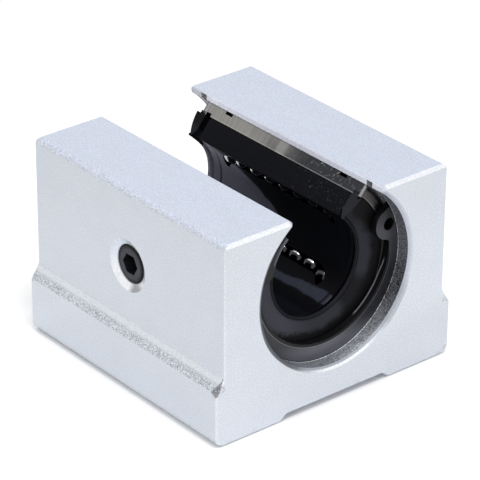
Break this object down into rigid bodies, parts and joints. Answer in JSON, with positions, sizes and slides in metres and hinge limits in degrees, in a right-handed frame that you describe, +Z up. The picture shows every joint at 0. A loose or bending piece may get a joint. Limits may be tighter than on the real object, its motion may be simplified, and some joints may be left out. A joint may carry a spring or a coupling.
{
  "type": "open linear bearing block",
  "caption": "Open aluminium bearing block with a rail slot along its crown and a slotted sleeve of recirculating balls, made to glide along a supported round shaft.",
  "frame": {"origin": "middle of the mounting face, below the shaft axis", "axes": "+X along the shaft, +Z up from the mounting face to the rail slot, the set screw is on the -Y side"},
  "size_m": [0.045, 0.045, 0.0322],
  "materials": {
    "housing_aluminium": "fine bead blast, clear anodised",
    "bearing_steel": "hardened and ground",
    "cage_plastic": "moulded, lightly oiled",
    "seal_rubber": "smooth moulded",
    "ring_steel": "phosphated dark grey",
    "screw_steel": "black oxide",
    "ball_steel": "polished"
  },
  "bodies": {
    "housing": {"block": "housing_aluminium", "outer_sleeve": "bearing_steel", "ball_cage": "cage_plastic", "front_seal": "seal_rubber", "rear_seal": "seal_rubber", "front_snap_ring": "ring_steel", "rear_snap_ring": "ring_steel"},
    "set_screw": {"set_screw": "screw_steel"},
    "upper_right_loaded_balls": {"upper_right_loaded_balls": "ball_steel"},
    "upper_right_return_balls": {"upper_right_return_balls": "ball_steel"},
    "upper_right_front_turn_balls": {"upper_right_front_turn_balls": "ball_steel"},
    "upper_right_rear_turn_balls": {"upper_right_rear_turn_balls": "ball_steel"},
    "lower_right_loaded_balls": {"lower_right_loaded_balls": "ball_steel"},
    "lower_right_return_balls": {"lower_right_return_balls": "ball_steel"},
    "lower_right_front_turn_balls": {"lower_right_front_turn_balls": "ball_steel"},
    "lower_right_rear_turn_balls": {"lower_right_rear_turn_balls": "ball_steel"},
    "upper_left_loaded_balls": {"upper_left_loaded_balls": "ball_steel"},
    "upper_left_return_balls": {"upper_left_return_balls": "ball_steel"},
    "upper_left_front_turn_balls": {"upper_left_front_turn_balls": "ball_steel"},
    "upper_left_rear_turn_balls": {"upper_left_rear_turn_balls": "ball_steel"},
    "lower_left_loaded_balls": {"lower_left_loaded_balls": "ball_steel"},
    "lower_left_return_balls": {"lower_left_return_balls": "ball_steel"},
    "lower_left_front_turn_balls": {"lower_left_front_turn_balls": "ball_steel"},
    "lower_left_rear_turn_balls": {"lower_left_rear_turn_balls": "ball_steel"}
  },
  "joints": [
    {"name": "set_screw_travel", "type": "slide", "parent": "housing", "child": "set_screw", "axis": [0, -1, 0], "range_m": [0, 0.003]},
    {"name": "upper_right_loaded_row", "type": "slide", "parent": "housing", "child": "upper_right_loaded_balls", "axis": [1, 0, 0], "range_m": [-0.00168, 0.00168]},
    {"name": "upper_right_return_row", "type": "slide", "parent": "housing", "child": "upper_right_return_balls", "axis": [-1, 0, 0], "range_m": [-0.00168, 0.00168]},
    {"name": "upper_right_front_turn", "type": "hinge", "parent": "housing", "child": "upper_right_front_turn_balls", "pos_m": [0.01008, 0.00916, 0.02331], "axis": [0, 0.843, 0.5379], "range_deg": [-45, 45]},
    {"name": "upper_right_rear_turn", "type": "hinge", "parent": "housing", "child": "upper_right_rear_turn_balls", "pos_m": [-0.01008, 0.00916, 0.02331], "axis": [0, 0.843, 0.5379], "range_deg": [-45, 45]},
    {"name": "lower_right_loaded_row", "type": "slide", "parent": "housing", "child": "lower_right_loaded_balls", "axis": [1, 0, 0], "range_m": [-0.00168, 0.00168]},
    {"name": "lower_right_return_row", "type": "slide", "parent": "housing", "child": "lower_right_return_balls", "axis": [-1, 0, 0], "range_m": [-0.00168, 0.00168]},
    {"name": "lower_right_front_turn", "type": "hinge", "parent": "housing", "child": "lower_right_front_turn_balls", "pos_m": [0.01008, 0.00597, 0.01231], "axis": [0, 0.7721, -0.6355], "range_deg": [-45, 45]},
    {"name": "lower_right_rear_turn", "type": "hinge", "parent": "housing", "child": "lower_right_rear_turn_balls", "pos_m": [-0.01008, 0.00597, 0.01231], "axis": [0, 0.7721, -0.6355], "range_deg": [-45, 45]},
    {"name": "upper_left_loaded_row", "type": "slide", "parent": "housing", "child": "upper_left_loaded_balls", "axis": [1, 0, 0], "range_m": [-0.00168, 0.00168]},
    {"name": "upper_left_return_row", "type": "slide", "parent": "housing", "child": "upper_left_return_balls", "axis": [-1, 0, 0], "range_m": [-0.00168, 0.00168]},
    {"name": "upper_left_front_turn", "type": "hinge", "parent": "housing", "child": "upper_left_front_turn_balls", "pos_m": [0.01008, -0.00916, 0.02331], "axis": [0, 0.843, -0.5379], "range_deg": [-45, 45]},
    {"name": "upper_left_rear_turn", "type": "hinge", "parent": "housing", "child": "upper_left_rear_turn_balls", "pos_m": [-0.01008, -0.00916, 0.02331], "axis": [0, 0.843, -0.5379], "range_deg": [-45, 45]},
    {"name": "lower_left_loaded_row", "type": "slide", "parent": "housing", "child": "lower_left_loaded_balls", "axis": [1, 0, 0], "range_m": [-0.00168, 0.00168]},
    {"name": "lower_left_return_row", "type": "slide", "parent": "housing", "child": "lower_left_return_balls", "axis": [-1, 0, 0], "range_m": [-0.00168, 0.00168]},
    {"name": "lower_left_front_turn", "type": "hinge", "parent": "housing", "child": "lower_left_front_turn_balls", "pos_m": [0.01008, -0.00597, 0.01231], "axis": [0, 0.7721, 0.6355], "range_deg": [-45, 45]},
    {"name": "lower_left_rear_turn", "type": "hinge", "parent": "housing", "child": "lower_left_rear_turn_balls", "pos_m": [-0.01008, -0.00597, 0.01231], "axis": [0, 0.7721, 0.6355], "range_deg": [-45, 45]}
  ],
  "couplings": [
    {"joint": "upper_right_return_row", "follows": "upper_right_loaded_row", "ratio": 1},
    {"joint": "upper_right_front_turn", "follows": "upper_right_loaded_row", "rad_per_m": 467.29},
    {"joint": "upper_right_rear_turn", "follows": "upper_right_loaded_row", "rad_per_m": 467.29},
    {"joint": "lower_right_return_row", "follows": "lower_right_loaded_row", "ratio": 1},
    {"joint": "lower_right_front_turn", "follows": "lower_right_loaded_row", "rad_per_m": 467.29},
    {"joint": "lower_right_rear_turn", "follows": "lower_right_loaded_row", "rad_per_m": 467.29},
    {"joint": "upper_left_return_row", "follows": "upper_left_loaded_row", "ratio": 1},
    {"joint": "upper_left_front_turn", "follows": "upper_left_loaded_row", "rad_per_m": 467.29},
    {"joint": "upper_left_rear_turn", "follows": "upper_left_loaded_row", "rad_per_m": 467.29},
    {"joint": "lower_left_return_row", "follows": "lower_left_loaded_row", "ratio": 1},
    {"joint": "lower_left_front_turn", "follows": "lower_left_loaded_row", "rad_per_m": 467.29},
    {"joint": "lower_left_rear_turn", "follows": "lower_left_loaded_row", "rad_per_m": 467.29}
  ]
}
